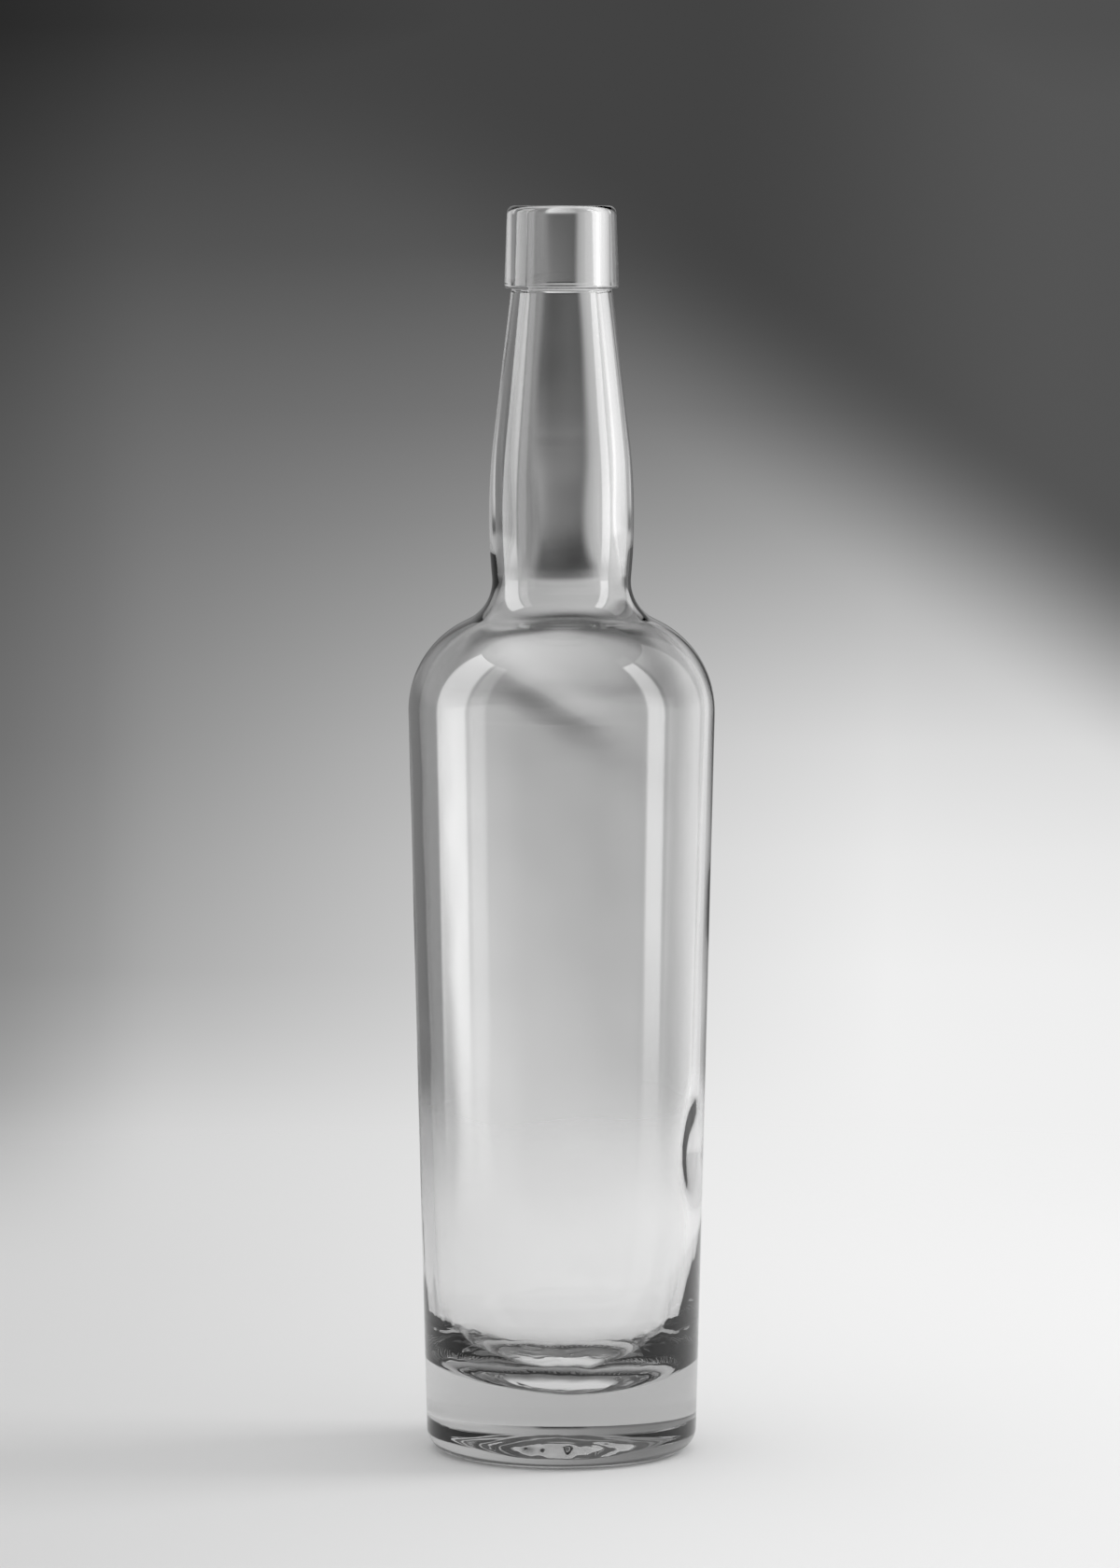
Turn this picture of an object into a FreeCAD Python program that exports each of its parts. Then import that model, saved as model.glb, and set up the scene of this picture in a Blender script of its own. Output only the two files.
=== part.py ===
"""Clear-glass spirits bottle, modelled as one revolved and hollowed body.

The bottle stands on z = 0 with its axis on the Z axis. Lengths are in millimetres. The outline and the
cavity are two sketches in the XZ plane. Both are chains of tangent lines and arcs whose sizes are bound
to the spreadsheet, and the ring of knurls under the base is one pocket repeated round the axis.
"""
import FreeCAD
import Part
import math
import os
import Sketcher

# Driving dimensions: alias, value in millimetres (or a count), meaning.
SIZES = (
    ("overall_height", 325.0, "table to the top of the mouth"),
    ("base_radius", 35.2, "side wall carried down to the table"),
    ("shoulder_radius", 39.9, "side wall at the start of the shoulder"),
    ("shoulder_height", 193.4, "start of the shoulder"),
    ("shoulder_arc", 26.0, "round of the shoulder"),
    ("foot_arc", 11.0, "hollow round where the neck leaves the shoulder"),
    ("bulge_radius", 18.85, "widest part of the neck"),
    ("bulge_height", 245.0, "height of the widest part of the neck"),
    ("bulge_arc", 170.0, "long round of the swollen neck"),
    ("neck_top_radius", 13.25, "neck just under the finish"),
    ("finish_height", 21.2, "plain band round the mouth"),
    ("finish_low_radius", 14.85, "band at its lower edge"),
    ("finish_top_radius", 14.2, "band carried up to the mouth"),
    ("finish_corner", 2.0, "round of the band's top edge"),
    ("finish_edge", 0.7, "round of the band's lower edge"),
    ("groove_height", 1.1, "groove between neck and band"),
    ("groove_arc", 0.7, "round of the groove's bottom"),
    ("heel_arc", 6.0, "round from the side wall to the contact ring"),
    ("contact_width", 3.2, "flat contact ring"),
    ("contact_edge", 1.6, "round inside the contact ring"),
    ("push_up", 5.5, "rise of the underside"),
    ("bore_radius", 9.25, "bore for an 18.5 mm stopper"),
    ("bore_length", 21.0, "straight bore"),
    ("lip_edge", 1.1, "round of the bore's mouth"),
    ("neck_wall", 4.1, "glass of the swollen neck"),
    ("foot_inner_arc", 14.0, "inner round where neck meets shoulder"),
    ("shoulder_wall", 2.75, "glass at the start of the shoulder"),
    ("base_wall", 3.7, "glass of the side wall carried down to the table"),
    ("floor_height", 16.5, "glass under the middle of the cavity"),
    ("floor_arc", 80.0, "bowl of the cavity floor"),
    ("floor_corner", 20.0, "round from the floor to the side wall"),
    ("knurl_count", 72, "notches round the contact ring"),
    ("knurl_width", 1.3, "width of a notch"),
    ("knurl_length", 3.0, "radial length of a notch"),
    ("knurl_depth", 0.45, "depth of a notch above the table"),
)

START, END, CENTRE = 1, 2, 3
ORIGIN = (-1, 1)
H_AXIS = -1
V_AXIS = -2


def point(x, y):
    """Return a point of the sketch plane."""
    return FreeCAD.Vector(x, y, 0)


def circles_meet(first, first_radius, second, second_radius, side):
    """Return the crossing of two circles on the left (side 1) or right (side -1) of first to second."""
    gap = second - first
    along = (first_radius ** 2 - second_radius ** 2 + gap.Length ** 2) / (2 * gap.Length)
    across = side * math.sqrt(first_radius ** 2 - along ** 2)
    unit = gap / gap.Length
    return first + unit * along + point(-unit.y, unit.x) * across


def tangent_point(outside, centre, radius, side):
    """Return where the line from an outside point touches a circle."""
    gap = outside - centre
    angle = math.atan2(gap.y, gap.x) + side * math.acos(radius / gap.Length)
    return centre + point(math.cos(angle), math.sin(angle)) * radius


def between(first, second, distance):
    """Return the point at a distance from first towards second."""
    return first + (second - first).normalize() * distance


def add_sheet(doc):
    """Write the driving dimensions into a spreadsheet and give each cell its alias."""
    sheet = doc.addObject("Spreadsheet::Sheet", "sizes")
    for row, (alias, value, meaning) in enumerate(SIZES, start=1):
        sheet.set(f"A{row}", alias)
        sheet.set(f"B{row}", str(value))
        sheet.set(f"C{row}", meaning)
        sheet.setAlias(f"B{row}", alias)
    doc.recompute()
    return sheet


def origin_feature(body, role):
    """Return a plane or an axis of the body's own origin."""
    return next(item for item in body.Origin.OriginFeatures if item.Role == role)


class Outline:
    """A sketch drawn as a closed chain of lines and arcs, with sizes bound to the spreadsheet."""

    def __init__(self, body, name, plane):
        self.sketch = body.newObject("Sketcher::SketchObject", name)
        self.sketch.AttachmentSupport = (origin_feature(body, plane), [""])
        self.sketch.MapMode = "FlatFace"
        self.ends = {}

    def line(self, start, end):
        """Add a line to the chain."""
        index = self.sketch.addGeometry(Part.LineSegment(start, end), False)
        self.ends[index] = (START, END)
        return index

    def arc(self, centre, start, end, clockwise=False):
        """Add a round from start to end about its centre."""
        low, high = (end, start) if clockwise else (start, end)
        low_angle = math.atan2(low.y - centre.y, low.x - centre.x)
        high_angle = math.atan2(high.y - centre.y, high.x - centre.x)
        if high_angle < low_angle:
            high_angle += 2 * math.pi
        circle = Part.Circle(centre, FreeCAD.Vector(0, 0, 1), (start - centre).Length)
        index = self.sketch.addGeometry(Part.ArcOfCircle(circle, low_angle, high_angle), False)
        self.ends[index] = (END, START) if clockwise else (START, END)
        return index

    def guide(self, place):
        """Add a construction point."""
        return self.sketch.addGeometry(Part.Point(place), True)

    def join(self, first, second, smooth=True):
        """Join the end of one piece of the chain to the start of the next."""
        kind = "Tangent" if smooth else "Coincident"
        joint = Sketcher.Constraint(kind, first, self.ends[first][1], second, self.ends[second][0])
        self.sketch.addConstraint(joint)

    def level(self, line):
        """Keep a line horizontal."""
        self.sketch.addConstraint(Sketcher.Constraint("Horizontal", line))

    def upright(self, line):
        """Keep a line vertical."""
        self.sketch.addConstraint(Sketcher.Constraint("Vertical", line))

    def on(self, geometry, end, curve):
        """Keep a point on an axis or on another curve."""
        self.sketch.addConstraint(Sketcher.Constraint("PointOnObject", geometry, end, curve))

    def bind(self, constraint, name, expression):
        """Add a constraint whose size is an expression of the spreadsheet."""
        index = self.sketch.addConstraint(constraint)
        self.sketch.renameConstraint(index, name)
        self.sketch.setExpression(f"Constraints.{name}", expression)

    def right(self, geometry, end, name, value, expression):
        """Set how far a point lies to the right of the axis."""
        self.bind(Sketcher.Constraint("DistanceX", *ORIGIN, geometry, end, value), name, expression)

    def left(self, geometry, end, name, value, expression):
        """Set how far a point lies to the left of the axis."""
        self.bind(Sketcher.Constraint("DistanceX", geometry, end, *ORIGIN, value), name, expression)

    def up(self, geometry, end, name, value, expression):
        """Set how far a point lies above the table."""
        self.bind(Sketcher.Constraint("DistanceY", *ORIGIN, geometry, end, value), name, expression)

    def radius(self, geometry, name, value, expression):
        """Set the radius of an arc."""
        self.bind(Sketcher.Constraint("Radius", geometry, value), name, expression)


def draw_outside(body, sizes):
    """Draw the outline: push-up, contact ring, heel, side wall, shoulder, neck, groove and finish."""
    outline = Outline(body, "outside", "XZ_Plane")

    slope = math.atan2(sizes.shoulder_radius - sizes.base_radius, sizes.shoulder_height)
    wall_top = point(sizes.shoulder_radius, sizes.shoulder_height)
    inward = point(-math.cos(slope), math.sin(slope))
    heel_x = sizes.base_radius + sizes.heel_arc * (math.tan(slope) - 1 / math.cos(slope))
    heel = point(heel_x, sizes.heel_arc)
    contact_inside = point(heel_x - sizes.contact_width, 0)
    summit = point(0, sizes.push_up)
    dome_arc = (contact_inside.x ** 2 + sizes.push_up ** 2) / (2 * sizes.push_up)
    dome = point(0, sizes.push_up - dome_arc)
    shoulder = wall_top + inward * sizes.shoulder_arc
    bulge = point(sizes.bulge_radius - sizes.bulge_arc, sizes.bulge_height)
    foot = circles_meet(bulge, sizes.bulge_arc + sizes.foot_arc,
                        shoulder, sizes.shoulder_arc + sizes.foot_arc, 1)
    finish_bottom = sizes.overall_height - sizes.finish_height
    neck_top = point(sizes.neck_top_radius, finish_bottom - sizes.groove_height)
    groove_top = point(sizes.neck_top_radius, finish_bottom)
    groove_inset = math.sqrt(sizes.groove_arc ** 2 - (sizes.groove_height / 2) ** 2)
    groove = point(sizes.neck_top_radius + groove_inset, finish_bottom - sizes.groove_height / 2)
    edge = point(sizes.finish_low_radius - sizes.finish_edge, finish_bottom + sizes.finish_edge)
    corner = point(sizes.finish_top_radius - sizes.finish_corner, sizes.overall_height - sizes.finish_corner)
    mouth = point(0, sizes.overall_height)

    under = outline.arc(dome, contact_inside, summit)
    contact = outline.line(contact_inside, point(heel.x, 0))
    heel_round = outline.arc(heel, point(heel.x, 0), heel - inward * sizes.heel_arc)
    wall = outline.line(heel - inward * sizes.heel_arc, wall_top)
    shoulder_round = outline.arc(shoulder, wall_top, between(shoulder, foot, sizes.shoulder_arc))
    foot_round = outline.arc(foot, between(foot, shoulder, sizes.foot_arc),
                             between(foot, bulge, sizes.foot_arc), clockwise=True)
    taper_start = tangent_point(neck_top, bulge, sizes.bulge_arc, -1)
    bulge_round = outline.arc(bulge, between(foot, bulge, sizes.foot_arc), taper_start)
    taper = outline.line(taper_start, neck_top)
    groove_round = outline.arc(groove, neck_top, groove_top, clockwise=True)
    ledge = outline.line(groove_top, point(edge.x, finish_bottom))
    edge_round = outline.arc(edge, point(edge.x, finish_bottom), point(sizes.finish_low_radius, edge.y))
    side = outline.line(point(sizes.finish_low_radius, edge.y), point(sizes.finish_top_radius, corner.y))
    corner_round = outline.arc(corner, point(sizes.finish_top_radius, corner.y),
                               point(corner.x, sizes.overall_height))
    top = outline.line(point(corner.x, sizes.overall_height), mouth)
    axis = outline.line(mouth, summit)

    # The underside's arc runs against the chain, so its own ends are joined by hand.
    outline.sketch.addConstraint(Sketcher.Constraint("Coincident", under, START, contact, START))
    outline.sketch.addConstraint(Sketcher.Constraint("Coincident", under, END, axis, END))
    chain = (contact, heel_round, wall, shoulder_round, foot_round, bulge_round, taper)
    for first, second in zip(chain, chain[1:]):
        outline.join(first, second)
    outline.join(taper, groove_round, smooth=False)
    outline.join(groove_round, ledge, smooth=False)
    finish = (ledge, edge_round, side, corner_round, top)
    for first, second in zip(finish, finish[1:]):
        outline.join(first, second)
    outline.join(top, axis, smooth=False)

    outline.on(under, CENTRE, V_AXIS)
    outline.on(axis, START, V_AXIS)
    outline.upright(axis)
    outline.on(contact, START, H_AXIS)
    outline.level(contact)
    outline.level(ledge)
    outline.level(top)

    wall_foot = outline.guide(point(sizes.base_radius, 0))
    band_foot = outline.guide(point(sizes.finish_low_radius, finish_bottom))
    band_top = outline.guide(point(sizes.finish_top_radius, sizes.overall_height))
    outline.on(wall_foot, START, H_AXIS)
    outline.on(wall_foot, START, wall)
    outline.on(band_foot, START, ledge)
    outline.on(band_foot, START, side)
    outline.on(band_top, START, top)
    outline.on(band_top, START, side)

    outline.up(axis, END, "push_up", sizes.push_up, "sizes.push_up")
    outline.bind(Sketcher.Constraint("DistanceX", contact, START, contact, END, sizes.contact_width),
                 "contact_width", "sizes.contact_width")
    outline.radius(heel_round, "heel_arc", sizes.heel_arc, "sizes.heel_arc")
    outline.right(wall_foot, START, "base_radius", sizes.base_radius, "sizes.base_radius")
    outline.right(wall, END, "shoulder_radius", sizes.shoulder_radius, "sizes.shoulder_radius")
    outline.up(wall, END, "shoulder_height", sizes.shoulder_height, "sizes.shoulder_height")
    outline.radius(shoulder_round, "shoulder_arc", sizes.shoulder_arc, "sizes.shoulder_arc")
    outline.radius(foot_round, "foot_arc", sizes.foot_arc, "sizes.foot_arc")
    outline.radius(bulge_round, "bulge_arc", sizes.bulge_arc, "sizes.bulge_arc")
    outline.left(bulge_round, CENTRE, "bulge_inset", sizes.bulge_arc - sizes.bulge_radius,
                 "sizes.bulge_arc - sizes.bulge_radius")
    outline.up(bulge_round, CENTRE, "bulge_height", sizes.bulge_height, "sizes.bulge_height")
    outline.right(taper, END, "neck_top_radius", sizes.neck_top_radius, "sizes.neck_top_radius")
    outline.up(taper, END, "neck_top_height", neck_top.y,
               "sizes.overall_height - sizes.finish_height - sizes.groove_height")
    outline.right(ledge, START, "groove_top_radius", sizes.neck_top_radius, "sizes.neck_top_radius")
    outline.up(ledge, START, "finish_bottom", finish_bottom, "sizes.overall_height - sizes.finish_height")
    outline.radius(groove_round, "groove_arc", sizes.groove_arc, "sizes.groove_arc")
    outline.radius(edge_round, "finish_edge", sizes.finish_edge, "sizes.finish_edge")
    outline.right(band_foot, START, "finish_low_radius", sizes.finish_low_radius, "sizes.finish_low_radius")
    outline.right(band_top, START, "finish_top_radius", sizes.finish_top_radius, "sizes.finish_top_radius")
    outline.radius(corner_round, "finish_corner", sizes.finish_corner, "sizes.finish_corner")
    outline.up(top, END, "overall_height", sizes.overall_height, "sizes.overall_height")
    return outline.sketch


def draw_cavity(body, sizes):
    """Draw the inside: straight bore, swollen neck, shoulder, side wall, round corner and bowl floor."""
    outline = Outline(body, "inside", "XZ_Plane")

    inner_shoulder_arc = sizes.shoulder_arc - sizes.shoulder_wall
    inner_bulge_arc = sizes.bulge_arc - sizes.neck_wall
    wall_top = point(sizes.shoulder_radius - sizes.shoulder_wall, sizes.shoulder_height)
    wall_foot = point(sizes.base_radius - sizes.base_wall, 0)
    slope = math.atan2(wall_top.x - wall_foot.x, wall_top.y)
    inward = point(-math.cos(slope), math.sin(slope))
    bore_bottom = point(sizes.bore_radius, sizes.overall_height - sizes.bore_length)
    bore_top = point(sizes.bore_radius, sizes.overall_height)
    mouth = point(0, sizes.overall_height)
    bulge = point(sizes.bulge_radius - sizes.bulge_arc, sizes.bulge_height)
    shoulder = wall_top + inward * inner_shoulder_arc
    foot = circles_meet(bulge, inner_bulge_arc + sizes.foot_inner_arc,
                        shoulder, inner_shoulder_arc + sizes.foot_inner_arc, 1)
    taper_end = tangent_point(bore_bottom, bulge, inner_bulge_arc, -1)
    floor = point(0, sizes.floor_height + sizes.floor_arc)
    floor_middle = point(0, sizes.floor_height)
    reach = sizes.floor_arc - sizes.floor_corner
    corner_foot = wall_foot + inward * sizes.floor_corner
    climb = point(math.sin(slope), math.cos(slope))
    gap = corner_foot - floor
    rise = -gap.dot(climb) - math.sqrt(gap.dot(climb) ** 2 - gap.dot(gap) + reach ** 2)
    corner = corner_foot + climb * rise
    corner_top = corner - inward * sizes.floor_corner
    corner_end = between(floor, corner, sizes.floor_arc)

    opening = outline.line(mouth, bore_top)
    bore = outline.line(bore_top, bore_bottom)
    taper = outline.line(bore_bottom, taper_end)
    bulge_round = outline.arc(bulge, taper_end, between(foot, bulge, sizes.foot_inner_arc), clockwise=True)
    foot_round = outline.arc(foot, between(foot, bulge, sizes.foot_inner_arc),
                             between(foot, shoulder, sizes.foot_inner_arc))
    shoulder_round = outline.arc(shoulder, between(shoulder, foot, inner_shoulder_arc), wall_top,
                                 clockwise=True)
    wall = outline.line(wall_top, corner_top)
    corner_round = outline.arc(corner, corner_top, corner_end, clockwise=True)
    floor_round = outline.arc(floor, corner_end, floor_middle, clockwise=True)
    axis = outline.line(floor_middle, mouth)

    outline.join(opening, bore, smooth=False)
    outline.join(bore, taper, smooth=False)
    chain = (taper, bulge_round, foot_round, shoulder_round, wall, corner_round, floor_round)
    for first, second in zip(chain, chain[1:]):
        outline.join(first, second)
    outline.join(floor_round, axis, smooth=False)
    outline.join(axis, opening, smooth=False)

    outline.on(axis, START, V_AXIS)
    outline.upright(axis)
    outline.level(opening)
    outline.upright(bore)
    outline.on(floor_round, CENTRE, V_AXIS)
    guide = outline.guide(wall_foot)
    outline.on(guide, START, H_AXIS)
    outline.on(guide, START, wall)

    outline.up(opening, START, "overall_height", sizes.overall_height, "sizes.overall_height")
    outline.right(bore, END, "bore_radius", sizes.bore_radius, "sizes.bore_radius")
    outline.up(bore, END, "bore_bottom", bore_bottom.y, "sizes.overall_height - sizes.bore_length")
    outline.radius(bulge_round, "inner_bulge_arc", inner_bulge_arc, "sizes.bulge_arc - sizes.neck_wall")
    outline.left(bulge_round, CENTRE, "bulge_inset", sizes.bulge_arc - sizes.bulge_radius,
                 "sizes.bulge_arc - sizes.bulge_radius")
    outline.up(bulge_round, CENTRE, "bulge_height", sizes.bulge_height, "sizes.bulge_height")
    outline.radius(foot_round, "foot_inner_arc", sizes.foot_inner_arc, "sizes.foot_inner_arc")
    outline.radius(shoulder_round, "inner_shoulder_arc", inner_shoulder_arc,
                   "sizes.shoulder_arc - sizes.shoulder_wall")
    outline.right(wall, START, "inner_shoulder_radius", wall_top.x,
                  "sizes.shoulder_radius - sizes.shoulder_wall")
    outline.up(wall, START, "shoulder_height", sizes.shoulder_height, "sizes.shoulder_height")
    outline.right(guide, START, "inner_base_radius", wall_foot.x, "sizes.base_radius - sizes.base_wall")
    outline.radius(corner_round, "floor_corner", sizes.floor_corner, "sizes.floor_corner")
    outline.radius(floor_round, "floor_arc", sizes.floor_arc, "sizes.floor_arc")
    outline.up(axis, START, "floor_height", sizes.floor_height, "sizes.floor_height")
    return outline.sketch


def revolve(body, kind, name, sketch):
    """Turn a sketch about the bottle's axis, to add glass or to take it away."""
    feature = body.newObject(kind, name)
    feature.Profile = sketch
    feature.ReferenceAxis = (sketch, ["V_Axis"])
    feature.Angle = 360.0
    return feature


def ring_edge(shape, radius, height):
    """Return the name of the round edge nearest to a radius and a height."""
    def miss(edge):
        return abs(edge.Curve.Radius - radius) + abs(edge.Curve.Center.z - height)

    rings = [(miss(edge), index) for index, edge in enumerate(shape.Edges, start=1)
             if not edge.Degenerated and isinstance(edge.Curve, Part.Circle)]
    return f"Edge{min(rings)[1]}"


def round_ring(body, name, base, radius, height, expression):
    """Round one edge that runs round the bottle."""
    fillet = body.newObject("PartDesign::Fillet", name)
    fillet.Base = (base, [ring_edge(base.Shape, radius, height)])
    fillet.setExpression("Radius", expression)
    return fillet


def draw_knurl(body, sizes):
    """Draw one notch: a short radial slot that crosses the outer rim of the contact ring."""
    outline = Outline(body, "knurl_outline", "XY_Plane")
    slope = math.atan2(sizes.shoulder_radius - sizes.base_radius, sizes.shoulder_height)
    rim = sizes.base_radius + sizes.heel_arc * (math.tan(slope) - 1 / math.cos(slope))
    half = sizes.knurl_width / 2
    inner = rim - sizes.knurl_length / 2
    outer = rim + sizes.knurl_length / 2
    corners = (point(inner, -half), point(outer, -half), point(outer, half), point(inner, half))
    sides = [outline.line(first, second) for first, second in zip(corners, corners[1:] + corners[:1])]
    for first, second in zip(sides, sides[1:] + sides[:1]):
        outline.join(first, second, smooth=False)
    near, outer_end, far, inner_end = sides
    outline.level(near)
    outline.level(far)
    outline.upright(outer_end)
    outline.upright(inner_end)
    slope_words = "atan((sizes.shoulder_radius - sizes.base_radius) / sizes.shoulder_height)"
    rim_words = f"sizes.base_radius + sizes.heel_arc * (tan({slope_words}) - 1 / cos({slope_words}))"
    outline.right(far, END, "knurl_inner", inner, f"{rim_words} - sizes.knurl_length / 2")
    outline.bind(Sketcher.Constraint("DistanceX", near, START, near, END, sizes.knurl_length),
                 "knurl_length", "sizes.knurl_length")
    outline.bind(Sketcher.Constraint("DistanceY", near, START, far, END, sizes.knurl_width),
                 "knurl_width", "sizes.knurl_width")
    outline.up(far, END, "knurl_half_width", half, "sizes.knurl_width / 2")
    return outline.sketch


def cut_knurls(doc, body, sizes):
    """Cut the notches of the contact ring, all alike and evenly spaced round the axis."""
    sketch = draw_knurl(body, sizes)
    notch = body.newObject("PartDesign::Pocket", "knurl")
    notch.Profile = sketch
    notch.Reversed = True
    notch.setExpression("Length", "sizes.knurl_depth")
    doc.recompute()
    ring = body.newObject("PartDesign::PolarPattern", "knurl_ring")
    ring.Originals = [notch]
    ring.Axis = (origin_feature(body, "Z_Axis"), [""])
    ring.Angle = 360.0
    ring.setExpression("Occurrences", "sizes.knurl_count")
    body.Tip = ring
    doc.recompute()
    return ring


def make_bottle(doc, sizes):
    """Model the bottle as one body: revolved glass, hollowed, with rounded rims and a knurled ring."""
    body = doc.addObject("PartDesign::Body", "bottle")
    body.Label = "bottle"
    body.Placement = FreeCAD.Placement()

    glass = revolve(body, "PartDesign::Revolution", "glass", draw_outside(body, sizes))
    doc.recompute()
    solid_volume = glass.Shape.Volume

    hollow = revolve(body, "PartDesign::Groove", "hollow", draw_cavity(body, sizes))
    doc.recompute()
    if hollow.Shape.Volume > 0.5 * solid_volume:
        raise RuntimeError("the cavity took away too little glass")

    lip = round_ring(body, "lip", hollow, sizes.bore_radius, sizes.overall_height, "sizes.lip_edge")
    doc.recompute()
    contact_inside = (sizes.base_radius - sizes.heel_arc) - sizes.contact_width
    rest = round_ring(body, "contact_inner_rim", lip, contact_inside, 0.0, "sizes.contact_edge")
    doc.recompute()
    plain_volume = rest.Shape.Volume

    ring = cut_knurls(doc, body, sizes)
    if not ring.Shape.Volume < plain_volume:
        raise RuntimeError("the knurls cut nothing")
    print(f"capacity to the brim {(solid_volume - hollow.Shape.Volume) / 1000:.1f} ml")
    return body


def check(doc, parts):
    """Stop unless every object has settled and every sub-part is one valid solid."""
    for item in doc.Objects:
        if "Invalid" in item.State or "Error" in item.State:
            raise RuntimeError(f"{item.Label} did not build: {item.State}")
        if item.TypeId == "Sketcher::SketchObject" and not item.FullyConstrained:
            raise RuntimeError(f"{item.Label} is not fully constrained")
    for part in parts:
        if part.Shape.isNull() or not part.Shape.isValid() or len(part.Shape.Solids) != 1:
            raise RuntimeError(f"{part.Label} is not one valid solid")


def main():
    """Build the document and write each sub-part to its own file."""
    doc = FreeCAD.newDocument("bottle_model")
    sizes = add_sheet(doc)
    parts = [make_bottle(doc, sizes)]
    doc.recompute()
    check(doc, parts)
    os.makedirs("parts", exist_ok=True)
    for part in parts:
        part.Shape.exportStep(f"parts/{part.Label}.step")
        print(f"{part.Label}: glass {part.Shape.Volume / 1000:.1f} ml, {len(part.Shape.Faces)} faces")


main()
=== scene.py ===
"""Studio scene of a clear-glass spirits bottle: the blown glass, the table, the lights and the camera."""
import logging
import math
from dataclasses import dataclass
from enum import Enum

import bpy
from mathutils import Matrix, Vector


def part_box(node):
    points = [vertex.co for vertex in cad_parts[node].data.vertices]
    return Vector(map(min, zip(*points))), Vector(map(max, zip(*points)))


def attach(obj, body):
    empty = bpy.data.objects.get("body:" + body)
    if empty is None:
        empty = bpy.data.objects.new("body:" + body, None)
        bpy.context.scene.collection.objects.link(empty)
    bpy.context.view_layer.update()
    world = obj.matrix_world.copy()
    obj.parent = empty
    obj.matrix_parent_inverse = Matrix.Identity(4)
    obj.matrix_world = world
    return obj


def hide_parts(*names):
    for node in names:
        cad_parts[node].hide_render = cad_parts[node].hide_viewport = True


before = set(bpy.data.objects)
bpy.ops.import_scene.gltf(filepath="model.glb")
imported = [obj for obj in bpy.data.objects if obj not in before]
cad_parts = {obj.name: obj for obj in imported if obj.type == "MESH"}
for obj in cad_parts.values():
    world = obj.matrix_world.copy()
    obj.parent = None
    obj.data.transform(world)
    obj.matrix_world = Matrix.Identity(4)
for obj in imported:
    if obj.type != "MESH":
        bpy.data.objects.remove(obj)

LOG = logging.getLogger("bottle")
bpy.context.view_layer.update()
NODE = "bottle"
BODY = "root"
MM = 0.001
DEGREES = 180 / math.pi
CIRCLE = 360.0

# A ray's depth is a whole number: up to the first it is none yet, from the second on it is one or more.
NO_TIMES = 0.4
ONCE = 0.6

# How much of a lamp a ray still mirrors after a way through the glass.
INNER_SHARE = 0.12

# A vertex of less weight stays out of a displacement's group.
LEAST_WEIGHT = 0.001

# Heights that agree to so many digits of a metre belong to one ring of vertices.
RING_DIGITS = 7

# The grey at which a texture moves nothing.
TEXTURE_MIDDLE = 0.5

Value = float | bpy.types.NodeSocket
Stops = tuple[tuple[float, float], ...]


class Side(Enum):
    """Which of two crossings or touching points is meant, seen along the line between two centres."""

    LEFT = 1
    RIGHT = -1


class Push(Enum):
    """Which way a displacement moves the skin: along its own normals, or upright."""

    OUT = "NORMAL"
    UP = "Z"


def polar(angle: float, length: float = 1.0) -> Vector:
    """Return a point of the profile plane at an angle and a distance from its origin."""
    return Vector((math.cos(angle), math.sin(angle))) * length


def circles_meet(first: Vector, first_radius: float, second: Vector, second_radius: float,
                 side: Side) -> Vector:
    """Find where two circles cross.

    Args:
        first: centre of the first circle.
        first_radius: radius of the first circle.
        second: centre of the second circle.
        second_radius: radius of the second circle.
        side: which of the two crossings.

    Returns:
        The crossing.
    """
    gap = second - first
    along = (first_radius ** 2 - second_radius ** 2 + gap.length_squared) / (2 * gap.length)
    across = side.value * math.sqrt(first_radius ** 2 - along ** 2)
    unit = gap.normalized()
    return first + unit * along + Vector((-unit.y, unit.x)) * across


def tangent_point(outside: Vector, centre: Vector, radius: float, side: Side) -> Vector:
    """Find where the line from an outside point touches a circle.

    Args:
        outside: the point outside the circle.
        centre: centre of the circle.
        radius: radius of the circle.
        side: which of the two tangents.

    Returns:
        The touching point.
    """
    gap = outside - centre
    angle = math.atan2(gap.y, gap.x) + side.value * math.acos(radius / gap.length)
    return centre + polar(angle, radius)


def towards(start: Vector, end: Vector, distance: float) -> Vector:
    """Return the point at a distance from start towards end."""
    return start + (end - start).normalized() * distance


class Profile:
    """The half section of the glass: a chain of stations of radius and height, in millimetres.

    A long line gets one more station close to each end, at the distance hold, so that the smooth
    shading of the rounds beside it doesn't run into it.
    """

    hold: float = 0.4
    long_line: float = 1.6

    def __init__(self, start: Vector) -> None:
        """Start the chain at a point."""
        self.stations: list[Vector] = [start.copy()]

    def line(self, end: Vector, step: float) -> None:
        """Go straight to a point.

        Args:
            end: the point.
            step: about how far apart the stations stand.
        """
        start = self.stations[-1]
        length = (end - start).length
        count = max(1, round(length / step))
        shares = [index / count for index in range(1, count + 1)]
        if length > self.long_line:
            shares += [self.hold / length, 1.0 - self.hold / length]
        for share in sorted(shares):
            self.stations.append(start.lerp(end, share))

    def arc(self, centre: Vector, end: Vector, step: float) -> None:
        """Go the short way round a centre to a point.

        Args:
            centre: centre of the arc.
            end: the point, as far from the centre as the last station.
            step: about how far apart the stations stand.
        """
        start = self.stations[-1]
        radius = (start - centre).length
        first = math.atan2(start.y - centre.y, start.x - centre.x)
        turn = math.atan2(end.y - centre.y, end.x - centre.x) - first
        turn = (turn + math.pi) % (2 * math.pi) - math.pi
        count = max(2, round(abs(turn) * radius / step))
        for index in range(1, count + 1):
            self.stations.append(centre + polar(first + turn * index / count, radius))


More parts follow.
